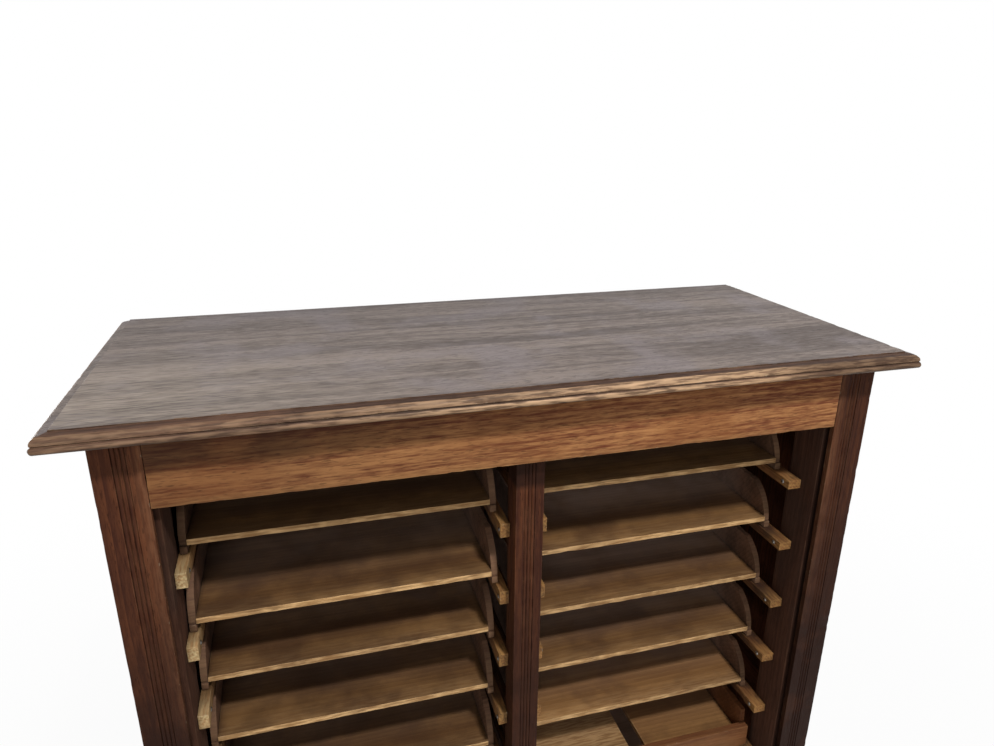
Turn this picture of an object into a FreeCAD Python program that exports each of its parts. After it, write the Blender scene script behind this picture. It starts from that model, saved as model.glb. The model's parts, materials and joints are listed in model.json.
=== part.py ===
"""Notary cabinet: two columns of open document trays behind a roller shutter.

The origin is the centre of the footprint on the floor, +Z is up, the front faces -Y,
and every length is in millimetres.  Depths (d) are counted back from the front face of
the carcass, and heights (z) up from the floor.
"""
import FreeCAD
import Part
import math
import os
from collections import namedtuple

# Carcass and top board
cabinet_height = 1250.0
carcass_width = 924.0
carcass_depth = 390.0
side_overhang = 38.0
front_overhang = 34.0
top_thickness = 19.0
top_corner_radius = 3.0

# Moulded edge of the top board: a step down from the flat, a land that falls a little,
# a quarter round, a fine groove and a rounded nosing
edge_run = 16.0
edge_step = 1.2
land_run = 8.5
land_fall = 1.4
quarter_round_drop = 7.5
fine_groove_width = 1.6
fine_groove_depth = 2.0
nosing_bulge = 2.0
nosing_undercut = 6.0

# Front stiles, reeds and the grooves that guide the shutter
stile_width = 49.0
stile_depth = 50.0
rear_stile_depth = 50.0
rear_lip_thickness = 32.0
lip_thickness = 8.0
groove_width = 8.0
groove_depth = 11.0
reed_pitch = 4.5
reed_count = 3
reed_depth = 1.6
reed_edge_offset = 20.5

# Frieze, centre stile, bearers and inner back
frieze_height = 85.0
frieze_rebate_height = 24.0
centre_width = 36.0
centre_depth = 34.0
centre_post_depth = 40.0
left_bearer_thickness = 16.0
right_bearer_thickness = 12.0
front_bearer_width = 55.0
rear_bearer_width = 49.0
inner_back_thickness = 8.0

# Framed sides and back
rail_thickness = 22.0
top_rail_height = 80.0
middle_rail_height = 70.0
bottom_rail_height = 140.0
panel_thickness = 8.0
panel_tongue = 8.0
panel_play = 0.1
panel_top_gap = 2.0
back_rail_thickness = 20.0
back_rail_height = 70.0
muntin_width = 60.0

# Base
floor_level = 100.0
bottom_board_thickness = 18.0
plinth_height = 80.0
plinth_thickness = 18.0
plinth_round = 10.0

# Runners: one size of strip, set on edge, and laid flat on the right-hand wall
row_count = 10
first_runner_drop = 99.0
row_pitch = 99.5
strip_thickness = 13.0
strip_breadth = 20.0
runner_setback_left = 31.0
runner_setback_centre = 38.0
runner_setback_right = 43.0

# Trays
tray_home_setback = 91.0
tray_back_play = 1.0
tray_side_play = 5.5
tray_side_thickness = 8.5
tray_side_height = 63.0
tray_board_thickness = 8.0
tray_board_lift = 11.0
tray_back_thickness = 9.0

# Front of a tray's sides: a square foot, a small step, then a curve leaning back
tray_foot_height = 10.0
tray_foot_step = 3.0
tray_curve_height = 40.0
tray_curve_run = 12.0
tray_lean = 38.0

# How each tray stands at rest, from the top row down: how far it is drawn out from
# its home against the back, and how far it lies to the right of its bay's middle
drawn_left = [21.0, 33.0, 17.0, 13.0, 19.0, 11.0, 25.0, 7.0, 15.0, 9.0]
drawn_right = [11.0, 5.0, 4.0, 3.0, 4.0, 28.0, 6.0, 12.0, 5.0, 8.0]
shift_left = [-3.5, -4.0, -4.0, -3.5, -4.0, 0.5, -2.0, 1.0, -1.0, -3.0]
shift_right = [-1.5, -1.0, -1.5, -2.0, -1.0, -2.5, 2.0, -1.0, 1.0, 0.0]

# The one drawer with a closed front, in the right column
drawer_row = 6
drawer_front_height = 39.0
drawer_front_thickness = 12.0
drawer_slot_width = 26.0
drawer_slot_centre = 187.0

# Roller shutter: slats glued to canvas, running in the grooves and round two bends
slat_pitch = 15.0
slat_gap = 0.8
slat_play = 1.8
slat_crown = 2.0
slat_end_play = 2.5
canvas_thickness = 0.8
canvas_margin = 4.0
canvas_lap = 8.0
running_clearance = 0.2
bend_radius = 44.0
track_sole = 8.0
lead_rail_height = 45.0
lead_rail_projection = 6.0
lead_rail_end_play = 1.0
lead_rail_rebate = 20.0

# Grips on the lead rail
pull_length = 90.0
pull_height = 16.0
pull_projection = 16.0
pull_foot = 9.0
pull_hollow = 1.5
pull_spacing = 500.0

# Screws
screw_head_radius = 3.2
screw_head_height = 1.2
screw_crown_radius = 1.8
screw_radius = 1.5
screw_play = 0.05
runner_screw_bite = 10.0
top_screw_bite = 12.0
top_screw_count = 3
pull_screw_bite = 9.0
pull_screw_spacing = 60.0
cleat_size = 25.0
cleat_end_gap = 7.0

# Places that several pieces share
front_y = -(carcass_depth - front_overhang) / 2
top_z = cabinet_height - top_thickness
half_top = carcass_width / 2 + side_overhang
half_carcass = carcass_width / 2
half_opening = half_carcass - stile_width
groove_floor = half_opening + groove_depth
left_wall = groove_floor - left_bearer_thickness
right_wall = groove_floor - right_bearer_thickness
rail_inner = half_carcass - rail_thickness
frieze_bottom = top_z - frieze_height
groove_back = lip_thickness + groove_width
rear_stile_front = carcass_depth - rear_stile_depth
rear_groove_back = carcass_depth - rear_lip_thickness
inner_back_rear = rear_groove_back - groove_width
inner_back_front = inner_back_rear - inner_back_thickness
front_bearer_back = groove_back + front_bearer_width
rear_bearer_front = inner_back_front - rear_bearer_width
centre_stile_back = groove_back + centre_depth
centre_post_front = inner_back_front - centre_post_depth
core_top = floor_level - bottom_board_thickness
panel_x = -half_carcass + (rail_thickness - panel_thickness) / 2
panel_d = carcass_depth - (back_rail_thickness + panel_thickness) / 2
tray_width = min(left_wall, right_wall) - centre_width / 2 - 2 * tray_side_play
tray_depth = inner_back_front - tray_back_play - tray_home_setback
slat_thickness = groove_width - running_clearance - slat_play
slat_edge_thickness = slat_thickness - slat_crown
slat_end = groove_floor - slat_end_play
slat_inset = running_clearance + slat_thickness
bend_z = track_sole + bend_radius
bend_front_d = lip_thickness + bend_radius
bend_rear_d = rear_groove_back - bend_radius

# One ladder of runners: the x of the wall that carries it, which way that wall lies,
# the runners' setback and section, the rear of the post under their front ends and the
# front of the post at the rear
Ladder = namedtuple("Ladder", "wall side setback width height front_end rear_start")

TO_FRONT = FreeCAD.Vector(0, -1, 0)
TO_TOP = FreeCAD.Vector(0, 0, 1)
DIAGONAL = math.sqrt(0.5)


def point(x, d, z):
    """The place at x, depth d behind the carcass front and height z."""
    return FreeCAD.Vector(x, front_y + d, z)


def block(x0, x1, d0, d1, z0, z1):
    """A square-edged board between two corners."""
    return Part.makeBox(x1 - x0, d1 - d0, z1 - z0, point(x0, d0, z0))


def outline(steps):
    """A closed face.  A step is a point, or a pair (middle, end) for an arc."""
    edges = []
    here = steps[0]
    for step in steps[1:] + [steps[0]]:
        if isinstance(step, tuple):
            middle, end = step
            edges.append(Part.Arc(here, middle, end).toShape())
        else:
            end = step
            edges.append(Part.LineSegment(here, end).toShape())
        here = end
    return Part.Face(Part.Wire(edges))


def backwards(steps):
    """The same line of steps, walked from its end to its start."""
    ends = [step[1] if isinstance(step, tuple) else step for step in steps]
    turned = [ends[-1]]
    for number in range(len(steps) - 1, 0, -1):
        step = steps[number]
        end = ends[number - 1]
        turned.append((step[0], end) if isinstance(step, tuple) else end)
    return turned


def upright(steps, z0, z1):
    """A post with the given plan, drawn at height 0, between two heights."""
    plan = outline(steps)
    plan.translate(FreeCAD.Vector(0, 0, z0))
    return plan.extrude(FreeCAD.Vector(0, 0, z1 - z0))


def mirrored(shape):
    """The same piece for the other side of the cabinet."""
    return shape.mirror(FreeCAD.Vector(0, 0, 0), FreeCAD.Vector(1, 0, 0))


def drill(starts, into, length):
    """Clearance holes for screws that start at the given points."""
    radius = screw_radius + screw_play
    return Part.Compound([Part.makeCylinder(radius, length, at, into) for at in starts])


def screws(starts, into, length):
    """Screws whose heads lie on the surface at the given points."""
    made = []
    for at in starts:
        shank = Part.makeCylinder(screw_radius, length, at, into)
        head = Part.makeCone(
            screw_head_radius, screw_crown_radius, screw_head_height, at, into * -1
        )
        made.append(shank.fuse(head).removeSplitter())
    return made


def save(name, *shapes):
    """Write one named piece, or a group of like pieces, to its file."""
    solids = [solid for shape in shapes for solid in shape.Solids]
    if not solids or not all(solid.isValid() for solid in solids):
        raise ValueError(name + " has no solid, or a bad one")
    whole = solids[0] if len(solids) == 1 else Part.Compound(solids)
    whole.exportStep("parts/" + name + ".step")


def moulded_edge(lip, outwards, place):
    """Steps down a moulded edge of the top board, from the end of the flat to the underside.

    place(a, z) gives the point at a along the axis that the edge faces, and lip is the
    outermost a of the nosing.
    """
    step_z = cabinet_height - edge_step
    land_z = step_z - land_fall
    round_z = land_z - quarter_round_drop
    nosing_z = round_z - fine_groove_width
    flat_end = lip - outwards * edge_run
    land_end = flat_end + outwards * land_run
    round_end = lip - outwards * nosing_bulge
    round_mid = place(
        land_end + (round_end - land_end) * DIAGONAL,
        land_z - quarter_round_drop * (1 - DIAGONAL),
    )
    return [
        place(flat_end, cabinet_height),
        place(flat_end, step_z),
        place(land_end, land_z),
        (round_mid, place(round_end, round_z)),
        place(round_end - outwards * fine_groove_depth, (round_z + nosing_z) / 2),
        place(round_end, nosing_z),
        (place(lip, (nosing_z + top_z) / 2), place(lip - outwards * nosing_undercut, top_z)),
    ]


def top_screw_starts():
    """Heads of the screws that hold the top board, under the cleats on both sides."""
    x = rail_inner - cleat_size / 2
    d0 = front_bearer_back + cleat_end_gap
    step = (rear_bearer_front - cleat_end_gap - d0) / top_screw_count
    depths = [d0 + step * (number + 0.5) for number in range(top_screw_count)]
    return [point(side * x, d, top_z - cleat_size) for side in (-1, 1) for d in depths]


def make_top_board():
    """One wide board, moulded on the front and both sides and plain at the back."""
    width = FreeCAD.Vector(2 * half_top, 0, 0)
    depth = FreeCAD.Vector(0, carcass_depth + front_overhang, 0)
    front = moulded_edge(-front_overhang, -1, lambda a, z: point(-half_top, a, z))
    back = [point(-half_top, carcass_depth, z) for z in (top_z, cabinet_height)]
    along = outline(front + back).extrude(width)
    right = moulded_edge(half_top, 1, lambda a, z: point(a, -front_overhang, z))
    left = moulded_edge(-half_top, -1, lambda a, z: point(a, -front_overhang, z))
    across = outline(right + backwards(left)).extrude(depth)
    cut = top_corner_radius * (1 - DIAGONAL)
    front_d = -front_overhang
    side_d = top_corner_radius - front_overhang
    plan = [
        point(-half_top, carcass_depth, 0),
        point(-half_top, side_d, 0),
        (
            point(cut - half_top, front_d + cut, 0),
            point(top_corner_radius - half_top, front_d, 0),
        ),
        point(half_top - top_corner_radius, front_d, 0),
        (point(half_top - cut, front_d + cut, 0), point(half_top, side_d, 0)),
        point(half_top, carcass_depth, 0),
    ]
    board = along.common(across).common(upright(plan, top_z, cabinet_height))
    save("top_board", board.cut(drill(top_screw_starts(), TO_TOP, cleat_size + top_screw_bite)))


def reeds(start, face):
    """Steps to the right along a front at depth face: a sunk band of rounded reeds."""
    floor = face + reed_depth
    steps = [point(start, face, 0), point(start, floor, 0)]
    x = start
    for _ in range(reed_count):
        end = x + reed_pitch
        steps.append((point((x + end) / 2, face, 0), point(end, floor, 0)))
        x = end
    return steps + [point(x, face, 0)]


def side_openings():
    """Heights of the clear openings in a side frame: lower, then upper."""
    upper_end = top_z - top_rail_height
    middle = (bottom_rail_height + upper_end - middle_rail_height) / 2
    return [(bottom_rail_height, middle), (middle + middle_rail_height, upper_end)]


def side_panel_slots():
    """Slots all round both panels of the left side."""
    slots = []
    for z0, z1 in side_openings():
        slots.append(
            block(
                panel_x - panel_play,
                panel_x + panel_thickness + panel_play,
                stile_depth - panel_tongue,
                rear_stile_front + panel_tongue,
                z0 - panel_tongue,
                z1 + panel_tongue,
            )
        )
    return Part.Compound(slots)


def back_panel_slots():
    """Slots all round both back panels."""
    slots = []
    for x0, x1 in ((-half_opening, -muntin_width / 2), (muntin_width / 2, half_opening)):
        slots.append(
            block(
                x0 - panel_tongue,
                x1 + panel_tongue,
                panel_d - panel_play,
                panel_d + panel_thickness + panel_play,
                back_rail_height - panel_tongue,
                top_z - back_rail_height + panel_tongue,
            )
        )
    return Part.Compound(slots)


def make_stiles():
    """Four corner posts.  The front ones are reeded and hold the shutter's groove."""
    plan = [point(-half_carcass, 0, 0)]
    plan += reeds(-half_carcass + reed_edge_offset, 0)
    plan += [
        point(-half_opening, 0, 0),
        point(-half_opening, lip_thickness, 0),
        point(-groove_floor, lip_thickness, 0),
        point(-groove_floor, stile_depth, 0),
        point(-half_carcass, stile_depth, 0),
    ]
    front = upright(plan, 0, top_z).cut(side_panel_slots())
    save("front_stile_left", front)
    save("front_stile_right", mirrored(front))
    rear_plan = [
        point(-half_carcass, rear_stile_front, 0),
        point(-groove_floor, rear_stile_front, 0),
        point(-groove_floor, rear_groove_back, 0),
        point(-half_opening, rear_groove_back, 0),
        point(-half_opening, carcass_depth, 0),
        point(-half_carcass, carcass_depth, 0),
    ]
    rear = upright(rear_plan, 0, top_z).cut(side_panel_slots()).cut(back_panel_slots())
    save("rear_stile_left", rear)
    save("rear_stile_right", mirrored(rear))


def make_side_frames():
    """Top, middle and bottom rails of both sides, and the panels between them."""
    (low_z0, low_z1), (high_z0, high_z1) = side_openings()
    d0 = stile_depth
    d1 = rear_stile_front
    rails = [
        block(-half_carcass, -rail_inner, d0, d1, high_z1, top_z),
        block(-half_carcass, -rail_inner, d0, d1, low_z1, high_z0),
        block(-half_carcass, -groove_floor, d0, d1, 0, low_z0),
    ]
    rails = [rail.cut(side_panel_slots()) for rail in rails]
    save("side_rails_left", *rails)
    save("side_rails_right", *[mirrored(rail) for rail in rails])
    panels = [
        block(
            panel_x,
            panel_x + panel_thickness,
            d0 - panel_tongue + panel_play,
            d1 + panel_tongue - panel_play,
            z0 - panel_tongue,
            z1 + panel_tongue - panel_top_gap,
        )
        for z0, z1 in side_openings()
    ]
    save("side_panels_left", *panels)
    save("side_panels_right", *[mirrored(panel) for panel in panels])


def make_back():
    """Framed outer back: two rails, a muntin and two panels."""
    d0 = carcass_depth - back_rail_thickness
    d1 = carcass_depth
    z0 = back_rail_height
    z1 = top_z - back_rail_height
    rails = [
        block(-half_opening, half_opening, d0, d1, 0, z0),
        block(-half_opening, half_opening, d0, d1, z1, top_z),
        block(-muntin_width / 2, muntin_width / 2, d0, d1, z0, z1),
    ]
    save("back_rails", *[rail.cut(back_panel_slots()) for rail in rails])
    panel = block(
        muntin_width / 2 - panel_tongue + panel_play,
        half_opening + panel_tongue - panel_play,
        panel_d,
        panel_d + panel_thickness,
        z0 - panel_tongue,
        z1 + panel_tongue - panel_top_gap,
    )
    save("back_panels", panel, mirrored(panel))


def make_frieze():
    """Top front rail, rebated behind its lower edge to take the closed shutter."""
    rail = block(-half_opening, half_opening, 0, groove_back, frieze_bottom, top_z)
    rebate_top = frieze_bottom + frieze_rebate_height
    rebate = block(
        -half_opening, half_opening, lip_thickness, groove_back, frieze_bottom, rebate_top
    )
    save("frieze_rail", rail.cut(rebate))


def runner_tops():
    """Heights of the top faces of the runners, from the top row down."""
    first = frieze_bottom - first_runner_drop
    room = first - strip_breadth - floor_level
    rows = min(row_count, int(room // row_pitch) + 1)
    return [first - row_pitch * row for row in range(rows)]


def ladders():
    """The four ladders of runners, by name."""
    bearers = (front_bearer_back, rear_bearer_front)
    posts = (centre_stile_back, centre_post_front)
    on_edge = (strip_thickness, strip_breadth)
    flat = (strip_breadth, strip_thickness)
    half = centre_width / 2
    return {
        "left_outer": Ladder(-left_wall, -1, runner_setback_left, *on_edge, *bearers),
        "left_inner": Ladder(-half, 1, runner_setback_centre, *on_edge, *posts),
        "right_inner": Ladder(half, -1, runner_setback_centre, *on_edge, *posts),
        "right_outer": Ladder(right_wall, 1, runner_setback_right, *flat, *bearers),
    }


def runner_fixings(name, maker):
    """The screws of one ladder, two for each runner, or their holes, as maker draws them."""
    ladder = ladders()[name]
    face = ladder.wall - ladder.side * ladder.width
    depths = [
        (ladder.setback + ladder.front_end) / 2,
        (ladder.rear_start + inner_back_front) / 2,
    ]
    starts = [point(face, d, z - ladder.height / 2) for z in runner_tops() for d in depths]
    return maker(starts, FreeCAD.Vector(ladder.side, 0, 0), ladder.width + runner_screw_bite)


def make_runners():
    """Four ladders of runners, screwed to the bearers and to the centre posts."""
    all_screws = []
    for name, ladder in ladders().items():
        face = ladder.wall - ladder.side * ladder.width
        x0 = min(ladder.wall, face)
        x1 = max(ladder.wall, face)
        d0 = ladder.setback
        bars = [block(x0, x1, d0, inner_back_front, z - ladder.height, z) for z in runner_tops()]
        save("runners_" + name, Part.Compound(bars).cut(runner_fixings(name, drill)))
        all_screws += runner_fixings(name, screws)
    save("runner_screws", *all_screws)


def make_bearers():
    """Upright boards inside the sides that carry the outer runners."""
    ends = {
        "front": (groove_back, front_bearer_back),
        "rear": (rear_bearer_front, inner_back_front),
    }
    for end, (d0, d1) in ends.items():
        left = block(-groove_floor, -left_wall, d0, d1, floor_level, top_z)
        right = block(right_wall, groove_floor, d0, d1, floor_level, top_z)
        left = left.cut(runner_fixings("left_outer", drill))
        right = right.cut(runner_fixings("right_outer", drill))
        save(end + "_bearers", left, right)


def make_centre_posts():
    """Reeded centre stile at the front and a plain post at the rear of the two bays."""
    half = centre_width / 2
    plan = [point(-half, groove_back, 0)]
    plan += reeds(-reed_count * reed_pitch / 2, groove_back)
    plan += [
        point(half, groove_back, 0),
        point(half, centre_stile_back, 0),
        point(-half, centre_stile_back, 0),
    ]
    stile = upright(plan, floor_level, top_z)
    post = block(-half, half, centre_post_front, inner_back_front, floor_level, top_z)
    for name, piece in (("centre_stile", stile), ("centre_rear_post", post)):
        piece = piece.cut(runner_fixings("left_inner", drill))
        save(name, piece.cut(runner_fixings("right_inner", drill)))


def make_inner_boards():
    """Floor of the bays, and the board between the trays and the shutter's rear run."""
    x0 = -groove_floor
    x1 = groove_floor
    floor = block(x0, x1, groove_back, inner_back_rear, core_top, floor_level)
    back = block(x0, x1, inner_back_front, inner_back_rear, floor_level, frieze_bottom)
    save("bottom_board", floor)
    save("inner_back_board", back)


def plinth_profile(place):
    """Upright board with a rounded outer top edge; place(a, z) is a out from the carcass."""
    corner = plinth_round * (1 - DIAGONAL)
    return outline(
        [
            place(0, 0),
            place(plinth_thickness, 0),
            place(plinth_thickness, plinth_height - plinth_round),
            (
                place(plinth_thickness - corner, plinth_height - corner),
                place(plinth_thickness - plinth_round, plinth_height),
            ),
            place(0, plinth_height),
        ]
    )


def make_base():
    """Sill rail below the opening, and the plinth round the foot, mitred at the corners."""
    save("sill_rail", block(-half_opening, half_opening, 0, lip_thickness, 0, floor_level))
    outer = half_carcass + plinth_thickness
    front = plinth_profile(lambda a, z: point(-outer, -a, z))
    front = front.extrude(FreeCAD.Vector(2 * outer, 0, 0))
    side = plinth_profile(lambda a, z: point(-half_carcass - a, -plinth_thickness, z))
    side = side.extrude(FreeCAD.Vector(0, carcass_depth + plinth_thickness, 0))
    mitre = [point(-outer, -plinth_thickness, 0), point(-half_carcass, 0, 0)]
    beside = upright(mitre + [point(-outer, 0, 0)], 0, plinth_height)
    before = upright(mitre + [point(-half_carcass, -plinth_thickness, 0)], 0, plinth_height)
    side = side.cut(before)
    save("plinth_front", front.cut(beside).cut(mirrored(beside)))
    save("plinth_sides", side, mirrored(side))


def bends(radius):
    """Steps down the front bend, under the floor and up the rear bend, at one radius."""
    x = -groove_floor
    low = bend_z - radius
    slant = radius * DIAGONAL
    return [
        point(x, bend_front_d - radius, bend_z),
        (point(x, bend_front_d - slant, bend_z - slant), point(x, bend_front_d, low)),
        point(x, bend_rear_d, low),
        (point(x, bend_rear_d + slant, bend_z - slant), point(x, bend_rear_d + radius, bend_z)),
    ]


def make_tracks():
    """Shaped pieces at each side that turn the shutter under the floor and up the back."""
    x = -groove_floor
    sole = outline(
        [point(x, lip_thickness, 0)] + bends(bend_radius) + [point(x, rear_groove_back, 0)]
    ).extrude(FreeCAD.Vector(groove_depth, 0, 0))
    core = outline(
        [point(x, groove_back, core_top)]
        + bends(bend_radius - groove_width)
        + [point(x, inner_back_rear, core_top)]
    ).extrude(FreeCAD.Vector(left_bearer_thickness, 0, 0))
    save("track_soles", sole, mirrored(sole))
    save("track_cores", core, mirrored(core))


def make_top_fixings():
    """Battens under the top board along both sides, with their screws."""
    cleat = block(
        -rail_inner,
        -rail_inner + cleat_size,
        front_bearer_back + cleat_end_gap,
        rear_bearer_front - cleat_end_gap,
        top_z - cleat_size,
        top_z,
    )
    length = cleat_size + top_screw_bite
    bores = drill(top_screw_starts(), TO_TOP, length)
    save("top_cleats", cleat.cut(bores), mirrored(cleat).cut(bores))
    save("top_screws", *screws(top_screw_starts(), TO_TOP, length))


def tray_side(x):
    """One side board of a tray, its front leaning back above a small foot."""
    face = outline(
        [
            point(x, 0, 0),
            point(x, 0, tray_foot_height),
            point(x, tray_foot_step, tray_foot_height),
            (
                point(x, tray_curve_run, tray_curve_height),
                point(x, tray_lean, tray_side_height),
            ),
            point(x, tray_depth, tray_side_height),
            point(x, tray_depth, 0),
        ]
    )
    return face.extrude(FreeCAD.Vector(tray_side_thickness, 0, 0))


def tray_board(x0, x1, d0):
    """A bottom board between the sides, raised off the runners."""
    z1 = tray_board_lift + tray_board_thickness
    return block(x0, x1, d0, tray_depth - tray_back_thickness, tray_board_lift, z1)


def tray_back():
    """The back board between the sides, down to the level of the bottom's underside."""
    d0 = tray_depth - tray_back_thickness
    x1 = tray_width - tray_side_thickness
    return block(tray_side_thickness, x1, d0, tray_depth, tray_board_lift, tray_side_height)


def open_tray():
    """Two sides, a bottom board and a back, with the front left open."""
    inner = tray_side_thickness
    outer = tray_width - tray_side_thickness
    return [tray_side(0), tray_side(outer), tray_board(inner, outer, 0), tray_back()]


def closed_drawer():
    """A drawer with a low front, and a bottom of two boards with a gap between them."""
    inner = tray_side_thickness
    outer = tray_width - tray_side_thickness
    front = drawer_front_thickness
    slot_x = inner + drawer_slot_centre - drawer_slot_width / 2
    return [
        block(0, inner, front, tray_depth, 0, tray_side_height),
        block(outer, tray_width, front, tray_depth, 0, tray_side_height),
        block(0, tray_width, 0, front, 0, drawer_front_height),
        tray_board(inner, slot_x, front),
        tray_board(slot_x + drawer_slot_width, outer, front),
        tray_back(),
    ]


def make_trays():
    """Two columns of trays, each standing on its pair of runners."""
    half = centre_width / 2
    columns = {
        "left": (-(left_wall + half) / 2, drawn_left, shift_left),
        "right": ((right_wall + half) / 2, drawn_right, shift_right),
    }
    for side, (middle, drawn, shift) in columns.items():
        for row, z in enumerate(runner_tops()):
            is_drawer = side == "right" and row + 1 == drawer_row
            kind = "drawer" if is_drawer else "tray"
            solids = closed_drawer() if is_drawer else open_tray()
            x = middle + shift[row] - tray_width / 2
            for solid in solids:
                solid.translate(FreeCAD.Vector(x, tray_home_setback - drawn[row], z))
            save("%s_%s_%02d" % (kind, side, row + 1), *solids)


def lying_slat():
    """One slat across the opening, flat inner face down at height 0, rounded face up."""
    half = (slat_pitch - slat_gap) / 2
    face = outline(
        [
            FreeCAD.Vector(-slat_end, -half, 0),
            FreeCAD.Vector(-slat_end, half, 0),
            FreeCAD.Vector(-slat_end, half, slat_edge_thickness),
            (
                FreeCAD.Vector(-slat_end, 0, slat_thickness),
                FreeCAD.Vector(-slat_end, -half, slat_edge_thickness),
            ),
        ]
    )
    return face.extrude(FreeCAD.Vector(2 * slat_end, 0, 0))


def shutter_path(s):
    """Depth, height and turn of the slats' inner faces, s along from the lead rail down."""
    radius = bend_radius - slat_inset
    quarter = radius * math.pi / 2
    drop = floor_level - bend_z
    under = bend_rear_d - bend_front_d
    if s < drop:
        return bend_front_d - radius, floor_level - s, 0.0
    s -= drop
    if s < quarter:
        turn = s / radius
        return bend_front_d - radius * math.cos(turn), bend_z - radius * math.sin(turn), turn
    s -= quarter
    if s < under:
        return bend_front_d + s, bend_z - radius, math.pi / 2
    s -= under
    if s < quarter:
        turn = s / radius
        d = bend_rear_d + radius * math.sin(turn)
        return d, bend_z - radius * math.cos(turn), math.pi / 2 + turn
    return bend_rear_d + radius, bend_z + s - quarter, math.pi


def slat_counts():
    """How many slats the shutter has, and how many of them hang straight in front."""
    opening = frieze_bottom + lead_rail_rebate - lead_rail_height - floor_level
    return math.ceil(opening / slat_pitch), int((floor_level - bend_z) // slat_pitch)


def make_shutter_slats():
    """Slats that lift with the lead rail, and those stored round the bends."""
    total, lifting = slat_counts()
    slats = []
    for number in range(total):
        d, z, turn = shutter_path((number + 0.5) * slat_pitch)
        slat = lying_slat()
        origin = FreeCAD.Vector(0, 0, 0)
        slat.rotate(origin, FreeCAD.Vector(1, 0, 0), 90 + math.degrees(turn))
        slat.translate(point(0, d, z))
        slats.append(slat)
    save("shutter_front_slats", *slats[:lifting])
    save("shutter_stored_slats", *slats[lifting:])


def make_shutter_canvas():
    """Canvas glued behind the slats, in the same two lengths as they are."""
    total, lifting = slat_counts()
    half = left_wall - canvas_margin
    radius = bend_radius - slat_inset
    inner_radius = radius - canvas_thickness
    d0 = bend_front_d - radius
    d1 = bend_front_d - inner_radius
    join_z = floor_level - lifting * slat_pitch
    save("shutter_front_canvas", block(-half, half, d0, d1, join_z, floor_level + canvas_lap))

    x = -groove_floor
    end_z = shutter_path(total * slat_pitch)[1]
    loop = [point(x, d0, join_z)] + bends(radius)
    loop += [point(x, bend_rear_d + radius, end_z), point(x, bend_rear_d + inner_radius, end_z)]
    loop += backwards(bends(inner_radius)) + [point(x, d1, join_z)]
    stored = outline(loop)
    stored.translate(FreeCAD.Vector(groove_floor - half, 0, 0))
    save("shutter_stored_canvas", stored.extrude(FreeCAD.Vector(2 * half, 0, 0)))


def make_lead_rail():
    """The shutter's first and thickest slat, resting on the sill, with two grips."""
    rear = lip_thickness + slat_inset
    front = lip_thickness - lead_rail_projection
    step = lip_thickness + running_clearance
    z0 = floor_level
    z1 = floor_level + lead_rail_height
    face_z1 = z1 - lead_rail_rebate
    half = half_opening - lead_rail_end_play
    tongue = block(-slat_end, slat_end, step, rear, z0, z1)
    rail = tongue.fuse(block(-half, half, front, step, z0, face_z1)).removeSplitter()

    grip_z = (z0 + face_z1) / 2
    low = grip_z - pull_height / 2
    high = grip_z + pull_height / 2
    x0 = (pull_spacing - pull_length) / 2
    hollow_d = front - (pull_projection + pull_foot) / 2 + pull_hollow
    grip = outline(
        [
            point(x0, front, low),
            point(x0, front, high),
            point(x0, front - pull_projection, high),
            (point(x0, hollow_d, grip_z), point(x0, front - pull_foot, low)),
        ]
    ).extrude(FreeCAD.Vector(pull_length, 0, 0))

    middles = (-pull_spacing / 2, pull_spacing / 2)
    offsets = (-pull_screw_spacing / 2, pull_screw_spacing / 2)
    starts = [point(middle + offset, rear, grip_z) for middle in middles for offset in offsets]
    length = rear - front + pull_screw_bite
    bores = drill(starts, TO_FRONT, length)
    save("shutter_lead_rail", rail.cut(bores))
    save("shutter_pulls", grip.cut(bores), mirrored(grip).cut(bores))
    save("pull_screws", *screws(starts, TO_FRONT, length))


def main():
    """Write every piece of the cabinet."""
    os.makedirs("parts", exist_ok=True)
    make_top_board()
    make_stiles()
    make_side_frames()
    make_back()
    make_frieze()
    make_bearers()
    make_centre_posts()
    make_inner_boards()
    make_base()
    make_tracks()
    make_runners()
    make_top_fixings()
    make_trays()
    make_shutter_slats()
    make_shutter_canvas()
    make_lead_rail()


main()
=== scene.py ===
"""Dresses the notary cabinet: worn oak outside, stained pine trays and bare runners inside."""
import json
import math

import bmesh
import bpy
from mathutils import Matrix, Vector, noise


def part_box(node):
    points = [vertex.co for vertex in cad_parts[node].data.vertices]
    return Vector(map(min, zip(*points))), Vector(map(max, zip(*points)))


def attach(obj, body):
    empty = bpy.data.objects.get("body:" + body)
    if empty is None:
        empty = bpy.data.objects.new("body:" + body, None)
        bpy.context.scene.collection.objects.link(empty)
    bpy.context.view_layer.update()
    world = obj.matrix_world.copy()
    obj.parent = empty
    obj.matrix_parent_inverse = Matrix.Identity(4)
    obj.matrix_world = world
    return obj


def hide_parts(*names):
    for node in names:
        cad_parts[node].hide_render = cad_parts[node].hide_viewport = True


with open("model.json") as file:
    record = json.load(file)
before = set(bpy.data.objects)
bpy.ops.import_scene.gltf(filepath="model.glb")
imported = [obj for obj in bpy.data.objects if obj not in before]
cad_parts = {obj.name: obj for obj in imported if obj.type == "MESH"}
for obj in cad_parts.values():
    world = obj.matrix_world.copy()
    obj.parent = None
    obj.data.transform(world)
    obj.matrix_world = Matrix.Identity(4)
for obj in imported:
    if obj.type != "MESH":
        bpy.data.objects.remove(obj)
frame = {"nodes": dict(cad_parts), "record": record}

bl_info = {
    "name": "Notary Cabinet",
    "version": (1, 0, 0),
    "blender": (4, 5, 0),
    "location": "3D View > Sidebar > Cabinet",
    "description": "Dresses a notary cabinet with open trays in worn wood, piece by piece",
    "category": "Object",
}

MM = 0.001
X, Y, Z = 0, 1, 2

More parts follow.
